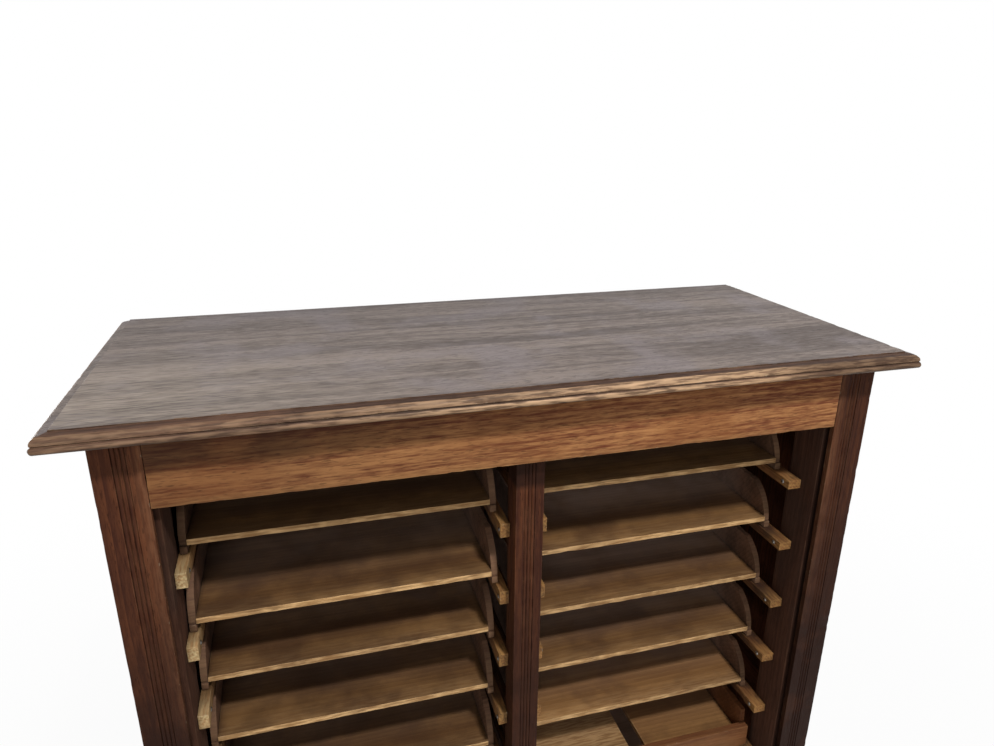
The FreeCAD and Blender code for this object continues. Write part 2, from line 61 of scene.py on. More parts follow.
# Settings of nodes that blend softly, and of nodes that mix colours
SMOOTH = {"interpolation_type": "SMOOTHSTEP"}
PAINT = {"data_type": "RGBA"}

# What a board's number, from 0 to 1, and the tree's middle add to a place in the wood's pattern
BOARD_STEP = (3.7, 5.1, 2.3)
PITH = (0.11, 0.07, -0.09)

# How fast the boards' numbers change with where they lie
BOARD_SCATTER = 37.0

# Angles between two faces: of one plane, on a coarse curve, at an edge to round, at a drawn edge
SAME_PLANE = math.radians(0.5)
CURVE_FROM, CURVE_TO = math.radians(3), math.radians(30)
EDGE_TO_ROUND = math.radians(35)
DRAWN_SHARP = math.radians(25)

# The longest flat of a coarse curve, and how near two points are taken for one
LONGEST_FACET = 16.0 * MM
TOUCHING = 0.001 * MM

# Lengths of the waves in a planed face, and of the dents and dips along an edge
PLANE_WAVE, DENT, DIP = 70 * MM, 9 * MM, 31 * MM

# Where a tray's bottom board lies: heights above its lowest point, and the boards round it
BOTTOM_FROM, BOTTOM_TO = 10.5 * MM, 19.8 * MM
SIDE_BOARD, BACK_BOARD, DRAWER_FRONT = 8.0 * MM, 9.2 * MM, 12.2 * MM
PALE_TRAYS = ("tray_right_05", "drawer_right_06")

# Points of the top's edge profile: the step, land and groove, the land's last, the nosing's first
# The points of MOULDING_HOLLOWS are darkened with painted shade
MOULDING_HOLLOWS = (1, 2, 3, 12, 13)
LAND_TO, NOSING_FROM = 3, 14

# Steps in each round of that profile, and how deep the wax, the flat and the underside reach
ROUND_STEPS = 8
WAX_REACH, TOP_SKIN, UNDERSIDE = 4 * MM, 0.2 * MM, 0.5 * MM

# Where painted shade, painted shadow, grime and wear come in: each pair is where they start and
# where they are full.  A pair in MM is measured from an edge of the piece, and any other is a
# place along X, Y or Z.
# On the top:
TOP_BACK, TOP_RIGHT, FRONT_STRIP = (0.0, 0.2), (0.1, 0.4), (24 * MM, 18 * MM)
PALE_LEFT, PALE_FRONT = (-0.05, -0.42), (0.08, -0.12)
# EDGE_LEFT_SHADE is painted shade that darkens the moulding towards its left end
EDGE_LEFT_SHADE, EDGE_RIGHT = (-0.1, -0.4), (0.27, 0.36)
ROUND_WORN, NOSING_WORN = (-0.28, 0.15), (-0.28, -0.1)

# On the frieze and stiles:
# OVERHANG_SHADOW is the painted shadow of the top's overhang on the frieze; FRIEZE_LEFT_SHADE is painted
# shade darkening its left end
OVERHANG_SHADOW, FRIEZE_LEFT_SHADE = (45 * MM, 38 * MM), (0.12, -0.3)
STILE_DOWN, STILE_RIGHT = (1.1, 0.75), (0.0, 0.4)
# FRIEZE_SHADOW is the painted shadow that the frieze casts on the centre stile's top
CENTRE_DOWN, FRIEZE_SHADOW = (1.02, 0.8), (44 * MM, 36 * MM)
TOUCHED_ARRIS = (4 * MM, 0.0)

# On the runners and trays:
RUNNER_DOWN, RUNNER_TIP = (1.04, 0.85), (-0.1, -0.13)
# TRAY_BACK is where the grey of a dusting and of painted fill light comes in at the back of a tray
TRAY_LIP, TRAY_BACK = (5 * MM, 3 * MM), (50 * MM, 140 * MM)


def linear(code):
    """Scene-linear colour, with alpha, of an sRGB hex value."""
    shares = [int(code[at : at + 2], 16) / 255 for at in (0, 2, 4)]
    parts = [s / 12.92 if s <= 0.04045 else ((s + 0.055) / 1.055) ** 2.4 for s in shares]
    return (*parts, 1.0)


def darkened(shade, share):
    """A colour at a share of its brightness."""
    return (*(share * part for part in shade[:3]), 1.0)


def ramp(value, start, end):
    """How far a value has come from start to end, from 0 to 1."""
    return min(1.0, max(0.0, (value - start) / (end - start)))


def length(name, text, millimetres):
    """A length that a user can set, in metres."""
    return bpy.props.FloatProperty(
        name=name, description=text, default=millimetres * MM, unit="LENGTH", precision=5
    )


def colour(name, text, code):
    """A colour that a user can set."""
    return bpy.props.FloatVectorProperty(
        name=name, description=text, default=linear(code), size=4, subtype="COLOR", min=0, max=1
    )


class CabinetSizes(bpy.types.PropertyGroup):
    """Sizes of the moulded top edge and of the wear on every board."""

    edge_run: length("Edge run", "Width of the moulding round the flat of the top", 16.0)
    edge_step: length("Edge step", "Small drop from the flat to the land", 1.2)
    land_run: length("Land run", "Width of the land below the step", 8.5)
    land_fall: length("Land fall", "How far the land falls towards the edge", 1.4)
    round_drop: length("Round drop", "Height of the quarter round", 7.5)
    groove_width: length("Groove width", "Height of the fine groove under the quarter round", 1.5)
    groove_depth: length("Groove depth", "Depth of the fine groove under the quarter round", 1.2)
    nosing_bulge: length("Nosing bulge", "How far the nosing stands out past the round", 2.0)
    nosing_undercut: length("Nosing undercut", "How far the nosing returns underneath", 6.0)
    corner_radius: length("Corner radius", "Rounding of the top's front corners in plan", 3.0)
    arris: length("Arris", "Rounding of a worn outside edge", 0.9)
    nick: length("Nick", "Depth of the dents along worn edges", 0.7)
    waviness: length("Waviness", "How far a planed face is out of true", 0.25)


class CabinetColours(bpy.types.PropertyGroup):
    """Colours of the woods, the cloth and the metal."""

    top_light: colour("Top, light", "Faded wax on the flat of the top", "8c7d74")
    top_deep: colour("Top, deep", "Darker grain of the top", "544741")
    edge_light: colour("Moulding, light", "Brown finish left on the moulding", "6e503f")
    edge_deep: colour("Moulding, deep", "Darker grain of the moulding", "412e24")
    edge_worn: colour("Moulding, worn", "Wood laid bare on the rounds", "d6af89")
    frieze_light: colour("Frieze, light", "Golden brown of the frieze", "b37e50")
    frieze_deep: colour("Frieze, deep", "Darker grain of the frieze", "693825")
    stile_light: colour("Stile, light", "Red-brown of the stiles", "6c4029")
    stile_deep: colour("Stile, deep", "Darker grain of the stiles", "3f231a")
    tray_light: colour("Tray, light", "Thin stain on the tray bottoms", "9c7346")
    tray_deep: colour("Tray, deep", "Darker grain of the tray bottoms", "765231")
    side_light: colour("Tray sides, light", "Dusty brown of the tray sides", "7e5c47")
    side_deep: colour("Tray sides, deep", "Darker grain of the tray sides", "543d2e")
    runner_light: colour("Runner, light", "Bare wood of the runners", "b88b5c")
    runner_deep: colour("Runner, deep", "Darker grain of the runners", "8a653d")
    inner_light: colour("Inside, light", "Old bare wood inside the carcass", "62402f")
    inner_deep: colour("Inside, deep", "Darker grain inside the carcass", "41271b")
    # The soot_and_shade colour also paints shade: under the top and frieze, in the moulding's hollows and
    # inside the carcass
    soot_and_shade: colour("Soot", "Black-brown grime in corners and under edges", "2a1811")
    # The dust_and_fill_light colour also stands in for painted fill light in the shaded backs of the trays
    dust_and_fill_light: colour("Dust", "Grey dust at the back of the trays", "b3998a")
    canvas: colour("Canvas", "Linen glued behind the slats", "a39578")
    steel: colour("Steel", "Dull screws", "8d8a84")


def sizes():
    """The sizes set for this scene."""
    return bpy.context.scene.cabinet_sizes


def colours():
    """The colours set for this scene."""
    return bpy.context.scene.cabinet_colours


def add(tree, kind, *values, links=None, **settings):
    """Add a node with its settings and give its inputs numbers, sockets or other nodes.

    Values go to the inputs that the node shows, in their order, and links go to inputs by
    name.  A node stands for its first result.
    """
    node = tree.nodes.new("ShaderNode" + kind)
    for field, value in settings.items():
        setattr(node, field, value)
    shown = [socket for socket in node.inputs if socket.enabled]
    given = list(zip(shown, values))
    given += [(node.inputs[name], value) for name, value in (links or {}).items()]
    for socket, value in given:
        if isinstance(value, bpy.types.Node):
            value = [output for output in value.outputs if output.enabled][0]
        if isinstance(value, bpy.types.NodeSocket):
            tree.links.new(value, socket)
        else:
            socket.default_value = value
    return node


def blank(name):
    """A new material and its empty tree."""
    material = bpy.data.materials.new(name)
    material.use_nodes = True
    material.node_tree.nodes.clear()
    return material, material.node_tree


def grain_factors(along, share):
    """Factors that make a pattern run on along the grain: 0.1 makes it ten times as long."""
    return [share if axis == along else 1.0 for axis in (X, Y, Z)]


def clouds(tree, where, size, detail, low, high, least=0.0, most=1.0):
    """Soft patches of a size in millimetres: least where the noise is low, most where high."""
    cloud = add(tree, "TexNoise", where, 1 / (size * MM), detail)
    return add(tree, "MapRange", cloud, low, high, least, most, **SMOOTH)


def broken_up(tree, share, *pattern):
    """A share of some mark, weakened where its patches are weak."""
    return add(tree, "Math", share, clouds(tree, *pattern), operation="MULTIPLY")


def wood(
    name,
    along,
    light,
    deep,
    stain,
    worn,
    ring=7.0,
    shares=(0.16, 0.34, 0.45, 0.5),
    spread=0.21,
    wander=3.0,
    bend=4.0,
    pore=0.5,
    blotch=0.45,
    patch=130.0,
    wear=0.7,
    chips=0.6,
    hollow_grime_and_shade=0.6,
    rubbed_side=(0, 0, 0),
    roughness=0.5,
    gloss=0.3,
    relief=0.35,
):
    """Wood with its grain along one axis: rings, fibres, pores, old stains, wear, grime and painted shade
    in its hollows.

    Lengths are in millimetres.  Pores and fibres are drawn about twice their real width,
    because real ones are finer than the picture shows.  The shares are those of rings,
    fibres, streaks and swathes in the figure.  A mesh may hold three values of its own:
    soot_and_shade for how black a place has gone, from grime and from painted shade, bare
    for how far its finish is rubbed off, and dust_and_fill_light for how grey it has gone,
    from a dusting and from painted fill light.
    """
    title = name + "_" + "xyz"[along]
    if title in bpy.data.materials:
        return bpy.data.materials[title]
    material, tree = blank(title)
    soot_and_shade, bare, dust_and_fill_light, board = (
        add(tree, "Attribute", attribute_name=layer).outputs["Fac"]
        for layer in ("soot_and_shade", "bare", "dust_and_fill_light", "board")
    )

    # Places on this board, and the same bent as its grain bends and drawn out along it
    place = add(tree, "TexCoord").outputs["Object"]
    place = add(tree, "VectorMath", board, BOARD_STEP, place, operation="MULTIPLY_ADD")
    slow = add(tree, "VectorMath", place, grain_factors(along, 0.3), operation="MULTIPLY")
    sway = add(tree, "TexNoise", slow, 1 / (90 * MM), 1.0).outputs["Color"]
    sway = add(tree, "VectorMath", sway, (0.5, 0.5, 0.5), operation="SUBTRACT")
    bent = add(tree, "VectorMath", sway, [2 * bend * MM] * 3, place, operation="MULTIPLY_ADD")
    long = add(tree, "VectorMath", bent, grain_factors(along, 0.06), operation="MULTIPLY")
    short = add(tree, "VectorMath", bent, grain_factors(along, 0.11), operation="MULTIPLY")
    straight = add(tree, "VectorMath", place, grain_factors(along, 0.12), operation="MULTIPLY")

    # The figure: rings, fibres, streaks and swathes, with pores that crowd in part of a ring
    rings = add(
        tree,
        "TexWave",
        add(tree, "VectorMath", long, PITH, operation="ADD"),
        math.pi / (10 * ring * MM),
        3 * wander,
        links={"Detail": 4.0, "Detail Scale": 0.12, "Detail Roughness": 0.6},
        wave_type="RINGS",
        rings_direction="XYZ"[along],
        wave_profile="SAW",
    ).outputs["Fac"]
    fibres = add(tree, "TexNoise", short, 1 / (2.2 * MM), 3.0)
    streaks = add(tree, "TexNoise", long, 1 / (9 * MM), 2.0)
    swathes = add(tree, "TexNoise", long, 1 / (38 * MM), 2.0)
    figure = 0.0
    for part, share in zip((rings, fibres, streaks, swathes), shares):
        figure = add(tree, "Math", part, share, figure, operation="MULTIPLY_ADD")
    middle = sum(shares) / 2
    figure = add(tree, "MapRange", figure, middle - spread, middle + spread, **SMOOTH)
    crowded = add(tree, "MapRange", rings, 0.2, 0.7, 0.45, 1.0, **SMOOTH)
    pores = clouds(tree, short, 1.2, 1.0, 0.58, 0.70, 0.0, crowded)

    # Wear on arrises, where the mesh says, and on a side that hands touch
    soft = add(tree, "Bevel", 2.5 * MM, samples=4)
    facing = add(tree, "NewGeometry").outputs["Normal"]
    turned = add(tree, "VectorMath", soft, facing, operation="DOT_PRODUCT")
    arris = add(tree, "MapRange", turned, 0.995, 0.90, **SMOOTH)
    rubbed = broken_up(tree, arris, place, 22.0, 4.0, 0.38, 0.62, 0.0, wear)
    ragged = clouds(tree, straight, 3.0, 5.0, 0.38, 0.60, 0.25, 1.0)
    laid_bare = add(tree, "Math", bare, ragged, operation="MULTIPLY")
    rubbed = add(tree, "Math", rubbed, laid_bare, operation="MAXIMUM")
    # Grime and painted shade, as the mesh's soot_and_shade values give them, broken into patches
    soot_and_shade_mask = broken_up(tree, soot_and_shade, place, 45.0, 4.0, 0.3, 0.62, 0.7, 1.0)
    if any(rubbed_side):
        turned = add(tree, "VectorMath", facing, rubbed_side, operation="DOT_PRODUCT")
        toward = add(tree, "MapRange", turned, 0.6, 0.9, **SMOOTH)
        handled = broken_up(tree, toward, place, 30.0, 4.0, 0.35, 0.6, 0.5, 1.0)
        handled = add(tree, "Math", handled, ragged, operation="MULTIPLY")
        rubbed = add(tree, "Math", rubbed, handled, operation="MAXIMUM")
        clean = add(tree, "Math", 1.0, toward, operation="SUBTRACT")
        soot_and_shade_mask = add(tree, "Math", soot_and_shade_mask, clean, operation="MULTIPLY")
    chipped = broken_up(tree, bare, place, 6.0, 3.0, 0.60, 0.66, 0.0, chips)
    # Painted shade with grime: darker where ambient occlusion finds other surfaces within 12 mm
    occlusion = add(tree, "AmbientOcclusion", links={"Distance": 12 * MM}, samples=4).outputs["AO"]
    worn_wood, grey_dust_and_fill = (
        add(tree, "Mix", figure, darkened(shade, 0.7), shade, **PAINT)
        for shade in (worn, colours().dust_and_fill_light)
    )

    # The colours from the wood up to what lies on it, each with its share
    tint = add(tree, "Mix", figure, deep, light, **PAINT)
    for share, over in (
        (clouds(tree, place, patch, 4.0, 0.46, 0.66, 0.0, blotch), stain),
        (add(tree, "Math", pores, pore, operation="MULTIPLY"), darkened(deep, 0.25)),
        (rubbed, worn_wood),
        (add(tree, "Math", chipped, arris, operation="MULTIPLY"), linear("d8c9ae")),
        # Painted shade and grime in hollows and creases
        (add(tree, "MapRange", occlusion, 0.85, 0.35, 0.0, hollow_grime_and_shade, **SMOOTH), darkened(deep, 0.2)),
        (soot_and_shade_mask, colours().soot_and_shade),
        # A dusting with painted fill light, grey at the back of the trays
        (broken_up(tree, dust_and_fill_light, place, 60.0, 4.0, 0.3, 0.65, 0.6, 1.0), grey_dust_and_fill),
    ):
        tint = add(tree, "Mix", share, tint, over, **PAINT)

    height = add(tree, "Math", fibres, pores, operation="SUBTRACT")
    dull = add(tree, "MapRange", fibres, 0.3, 0.7, roughness + 0.08, roughness - 0.06, **SMOOTH)
    parts = {
        "Base Color": tint,
        "Roughness": dull,
        "Normal": add(tree, "Bump", 0.6, relief * MM, links={"Height": height}),
        "IOR": 1.5,
        "Specular IOR Level": gloss,
    }
    add(tree, "OutputMaterial", add(tree, "BsdfPrincipled", links=parts))
    return material


def waxed_oak(along):
    """Flat-sawn oak under old wax: greyed by light, dull, with broad figure and dark streaks."""
    c = colours()
    return wood(
        "waxed_flat_sawn_oak", along, c.top_light, c.top_deep, linear("857a7b"), linear("a8998b"),
        ring=23.0, shares=(0.08, 0.36, 0.36, 0.62), spread=0.16, wander=9.0, bend=16.0, pore=0.8,
        blotch=0.6, patch=90.0, roughness=0.5, wear=0.3, chips=0.0, hollow_grime_and_shade=0.3, relief=0.25, gloss=0.3,
    )


def handled_oak(along):
    """Oak moulding rubbed by hands: brown finish left in the hollows, pale wood on the rounds."""
    c = colours()
    return wood(
        "hand_worn_oak_moulding", along, c.edge_light, c.edge_deep, linear("4f3a2d"), c.edge_worn,
        ring=5.0, spread=0.13, wear=0.3, chips=0.8, hollow_grime_and_shade=0.4, roughness=0.5, gloss=0.15,
    )


def golden_oak(along):
    """Oiled oak, golden brown: close straight grain that glows under a thin satin finish."""
    c = colours()
    return wood(
        "oiled_golden_oak", along, c.frieze_light, c.frieze_deep, linear("85522f"), linear("c9965f"),
        ring=5.0, shares=(0.14, 0.60, 0.40, 0.32), roughness=0.55, wear=0.6, hollow_grime_and_shade=0.7, gloss=0.1,
    )


def varnished_oak(along):
    """Oak under dark red-brown varnish: satin, darkened in the hollows by grime and painted shade, rubbed
    on the edges.
    """
    c = colours()
    return wood(
        "varnished_oak", along, c.stile_light, c.stile_deep, linear("4b2c1e"), linear("91664a"),
        ring=5.0, roughness=0.5, wear=0.5, chips=0.7, hollow_grime_and_shade=0.5, gloss=0.06,
    )


def stained_pine(along):
    """Pine with a thin uneven stain: matt, smudged by handling, pale along the front edges."""
    c = colours()
    return wood(
        "stained_pine", along, c.tray_light, c.tray_deep, linear("6a4a2f"), linear("e4ba84"),
        ring=6.0, shares=(0.10, 0.14, 0.26, 0.80), pore=0.15, blotch=0.75, patch=70.0,
        rubbed_side=(0, -1, 0), roughness=0.65, relief=0.3, gloss=0.15,
    )


def dusky_pine(along):
    """Pine gone dark brown under dust: the sides and backs of the trays, matt and dull."""
    c = colours()
    return wood(
        "dusty_stained_pine", along, c.side_light, c.side_deep, linear("4a3529"), linear("7e6047"),
        ring=6.0, shares=(0.10, 0.25, 0.35, 0.60), pore=0.15, blotch=0.5, patch=70.0,
        rubbed_side=(0, -1, 0), roughness=0.7, relief=0.3, gloss=0.15,
    )


def red_pine(along):
    """Pine with a reddish-brown stain: matt and even, redder than the trays."""
    c = colours()
    return wood(
        "red_stained_pine", along, linear("7f5031"), linear("5b3520"), c.tray_deep, linear("a07449"),
        ring=6.0, shares=(0.10, 0.25, 0.35, 0.60), pore=0.2, roughness=0.6, gloss=0.15,
    )


def bare_pine(along):
    """Planed pine left bare: pale and dry, with rough sawn ends."""
    c = colours()
    return wood(
        "bare_planed_pine", along, c.runner_light, c.runner_deep, linear("7c5b3a"), linear("d6bc8c"),
        ring=4.0, pore=0.15, blotch=0.7, patch=20.0, roughness=0.75, relief=0.4, gloss=0.15,
        rubbed_side=(0, -1, 0),
    )


def oiled_pine(along):
    """Pine runners browned by waxed trays: orange-brown and blotched, with pale tips."""
    return wood(
        "wax_browned_pine", along, linear("96643a"), linear("5f3d26"), linear("3d2a1f"), linear("c49558"),
        ring=4.0, pore=0.2, blotch=0.8, patch=28.0, roughness=0.65, relief=0.4, gloss=0.2,
    )


def aged_pine(along):
    """Bare pine gone dark with age and dust: dull, brown-black where no light reaches."""
    c = colours()
    return wood(
        "aged_bare_pine", along, c.inner_light, c.inner_deep, linear("40332c"), linear("7a5c44"),
        ring=6.0, wander=4.0, pore=0.3, roughness=0.8, gloss=0.15,
    )


def linen(along):
    """Coarse linen canvas sized with glue: a plain weave of stiff, matt threads."""
    if "glued_linen_canvas" in bpy.data.materials:
        return bpy.data.materials["glued_linen_canvas"]
    material, tree = blank("glued_linen_canvas")
    thread = 1.2 * MM
    place = add(tree, "TexCoord").outputs["Object"]
    warp, weft = (
        add(tree, "TexWave", place, math.pi / (10 * thread), 0.4, bands_direction=way).outputs["Fac"]
        for way in ("X", "Z")
    )
    height = add(tree, "Math", warp, weft, operation="MAXIMUM")
    cloth = colours().canvas
    parts = {
        "Base Color": add(tree, "Mix", height, darkened(cloth, 0.5), cloth, **PAINT),
        "Roughness": 0.9,
        "Normal": add(tree, "Bump", links={"Distance": 0.3 * MM, "Height": height}),
    }
    add(tree, "OutputMaterial", add(tree, "BsdfPrincipled", links=parts))
    return material


def dull_steel(along):
    """Old steel screws: grey metal with a brown film of rust in patches."""
    if "dull_steel" in bpy.data.materials:
        return bpy.data.materials["dull_steel"]
    material, tree = blank("dull_steel")
    place = add(tree, "TexCoord").outputs["Object"]
    rust = clouds(tree, place, 3.0, 2.0, 0.45, 0.65)
    parts = {
        "Base Color": add(tree, "Mix", rust, colours().steel, linear("5a4030"), **PAINT),
        "Metallic": 0.9,
        "Roughness": 0.45,
    }
    add(tree, "OutputMaterial", add(tree, "BsdfPrincipled", links=parts))
    return material


def body_of(node):
    """The body that a node belongs to."""
    for body, nodes in frame["record"]["behaviour"]["bodies"].items():
        if node in nodes:
            return body
    raise ValueError("no body holds " + node)


def islands(mesh):
    """Groups of joined vertices: the separate boards of a node."""
    waiting = set(mesh.verts)
    groups = []
    while waiting:
        group = [waiting.pop()]
        for vertex in group:
            for edge in vertex.link_edges:
                other = edge.other_vert(vertex)
                if other in waiting:
                    waiting.remove(other)
                    group.append(other)
        groups.append(group)
    return groups


def cut(mesh, cells):
    """Divide a mesh across each axis into cells of about the given lengths; 0 leaves it."""
    for axis, cell in enumerate(cells):
        if not cell:
            continue
        places = [vertex.co[axis] for vertex in mesh.verts]
        low, high = min(places), max(places)
        count = int((high - low) / cell)
        normal = Vector([1.0 if a == axis else 0.0 for a in (X, Y, Z)])
        for number in range(1, count):
            at = normal * (low + (high - low) * number / count)
            everything = mesh.verts[:] + mesh.edges[:] + mesh.faces[:]
            bmesh.ops.bisect_plane(mesh, geom=everything, plane_co=at, plane_no=normal)


def weather(mesh, worn, nick):
    """Push vertices in: a little on every face, and more in dents along the worn edges."""
    wave = sizes().waviness
    mesh.normal_update()
    moves = {}
    for vertex in mesh.verts:
        inward = wave * (0.5 + 0.5 * noise.noise(vertex.co / PLANE_WAVE))
        if vertex in worn:
            dent = noise.noise(vertex.co / DENT) + 0.5 * noise.noise(vertex.co / DIP)
            inward += nick * max(0.0, dent - 0.15) * 2
        moves[vertex] = vertex.normal * -inward
    for vertex, move in moves.items():
        vertex.co += move


def extent(vertices):
    """The lowest and highest corner of some vertices."""
    places = [vertex.co for vertex in vertices]
    low = Vector([min(place[a] for place in places) for a in (X, Y, Z)])
    high = Vector([max(place[a] for place in places) for a in (X, Y, Z)])
    return low, high


def paint(mesh, tone):
    """Note on each vertex how sooty, bare and dusty it is; tone may leave out the dust."""
    layers = [mesh.verts.layers.float.new(name) for name in ("soot_and_shade", "bare", "dust_and_fill_light")]
    for vertex in mesh.verts:
        for layer, share in zip(layers, tone(vertex.co)):
            vertex[layer] = share


def finish_mesh(mesh, name, finish, other=None):
    """Give each board its grain and number, and make the piece's object.

    Each face gets the finish, or another one that other returns for its middle.
    """
    made = bpy.data.meshes.new(name)
    number = mesh.faces.layers.float.new("board")
    for group in islands(mesh):
        low, high = extent(group)
        spans = list(high - low)
        along = spans.index(max(spans))
        tag = 0.5 + 0.5 * noise.noise((low + high) * BOARD_SCATTER)
        for face in {face for vertex in group for face in vertex.link_faces}:
            chosen = other(face.calc_center_median()) if other else None
            material = (chosen or finish)(along)
            if material.name not in made.materials:
                made.materials.append(material)
            face[number] = tag
            face.material_index = made.materials.find(material.name)
            face.smooth = True
    mesh.to_mesh(made)
    mesh.free()
    made.set_sharp_from_angle(angle=DRAWN_SHARP)
    piece = bpy.data.objects.new(name, made)
    bpy.context.scene.collection.objects.link(piece)
    return piece


def seat(piece, node):
    """Put a piece in the place of a node: in the same body, with the node hidden."""
    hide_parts(node)
    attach(piece, body_of(node))


def swell_facets(mesh, longest):
    """Turn the short flats of a coarse curve into round stretches, three steps to a flat."""
    mesh.normal_update()
    flats = {}
    for edge in mesh.edges:
        if len(edge.link_faces) != 2:
            continue
        turn = edge.calc_face_angle()
        if not CURVE_FROM < turn < CURVE_TO:
            continue
        for face in edge.link_faces:
            rims = [e for e in face.edges if len(set(e.verts) & set(edge.verts)) == 1]
            if len(face.edges) == 4 and max(rim.calc_length() for rim in rims) < longest:
                for rim in rims:
                    start, end = (vertex.co.copy() for vertex in rim.verts)
                    flats[rim] = (start, end - start, face.normal.copy(), math.tan(turn / 4) / 2)
    cuts = bmesh.ops.subdivide_edges(mesh, edges=list(flats), cuts=2, use_grid_fill=True)
    for vertex in cuts["geom_inner"]:
        if not isinstance(vertex, bmesh.types.BMVert):
            continue
        for start, span, outward, rise in flats.values():
            share = (vertex.co - start).dot(span) / span.length_squared
            if (start + span * share - vertex.co).length < TOUCHING:
                vertex.co += outward * span.length * rise * 4 * share * (1 - share)
                break


def worn_copy(node, finish, cells, arris=None, nick=None, tone=None, other=None):
    """A node's own shape with rounded and dented edges and faces a little out of true."""
    arris = sizes().arris if arris is None else arris * MM
    nick = sizes().nick if nick is None else nick * MM
    mesh = bmesh.new()
    mesh.from_mesh(frame["nodes"][node].data)
    bmesh.ops.remove_doubles(mesh, verts=mesh.verts, dist=TOUCHING)
    mark = mesh.faces.layers.int.new("worn")
    bmesh.ops.dissolve_limit(mesh, angle_limit=SAME_PLANE, verts=mesh.verts, edges=mesh.edges)
    if node.startswith("tray_"):
        swell_facets(mesh, LONGEST_FACET)
    sharp = [
        edge
        for edge in mesh.edges
        if len(edge.link_faces) == 2
        and edge.is_convex
        and edge.calc_face_angle() > EDGE_TO_ROUND
        and edge.calc_length() > 2.5 * arris
    ]
    rounded = bmesh.ops.bevel(
        mesh, geom=sharp, offset=arris, segments=2, profile=0.5, affect="EDGES", clamp_overlap=False
    )
    for face in rounded["faces"]:
        face[mark] = 1
    cut(mesh, cells)
    if tone:
        paint(mesh, tone)
    worn = {vertex for face in mesh.faces if face[mark] for vertex in face.verts}
    weather(mesh, worn, nick)
    seat(finish_mesh(mesh, "worn_" + node, finish, other), node)


def dress(node, finish, along):
    """Give a node that keeps its own shape its material."""
    material = finish(along)
    for slot in frame["nodes"][node].material_slots:
        slot.material = material


def arc(start, middle, end, count):
    """Points on the circle through three points, from after start up to end, in the plane."""
    ax, ay = start
    bx, by = middle
    cx, cy = end
    d = 2 * (ax * (by - cy) + bx * (cy - ay) + cx * (ay - by))
    a2, b2, c2 = ax * ax + ay * ay, bx * bx + by * by, cx * cx + cy * cy
    ux = (a2 * (by - cy) + b2 * (cy - ay) + c2 * (ay - by)) / d
    uy = (a2 * (cx - bx) + b2 * (ax - cx) + c2 * (bx - ax)) / d
    radius = math.hypot(ax - ux, ay - uy)
    first = math.atan2(ay - uy, ax - ux)
    turn = math.atan2(cy - uy, cx - ux) - first
    turn = (turn + math.pi) % (2 * math.pi) - math.pi
    return [
        (ux + radius * math.cos(first + turn * n / count), uy + radius * math.sin(first + turn * n / count))
        for n in range(1, count + 1)
    ]


def edge_profile(thickness):
    """The top's moulding as (distance in from the lip, height above the underside)."""
    s = sizes()
    step = thickness - s.edge_step
    land = (s.edge_run - s.land_run, step - s.land_fall)
    round_end = (s.nosing_bulge, land[1] - s.round_drop)
    nosing = round_end[1] - s.groove_width
    middle = (
        land[0] + (round_end[0] - land[0]) * math.sqrt(0.5),
        land[1] - s.round_drop * (1 - math.sqrt(0.5)),
    )
    ease = 0.5 * MM
    points = [(s.edge_run, thickness), (s.edge_run - ease, thickness - ease)]
    points += [(s.edge_run - ease, step), land]
    points += arc(land, middle, round_end, ROUND_STEPS)
    points += [(round_end[0] + s.groove_depth, (round_end[1] + nosing) / 2)]
    points += [(round_end[0], nosing)]
    points += arc(points[-1], (0.0, nosing / 2), (s.nosing_undercut, 0.0), ROUND_STEPS)
    return points


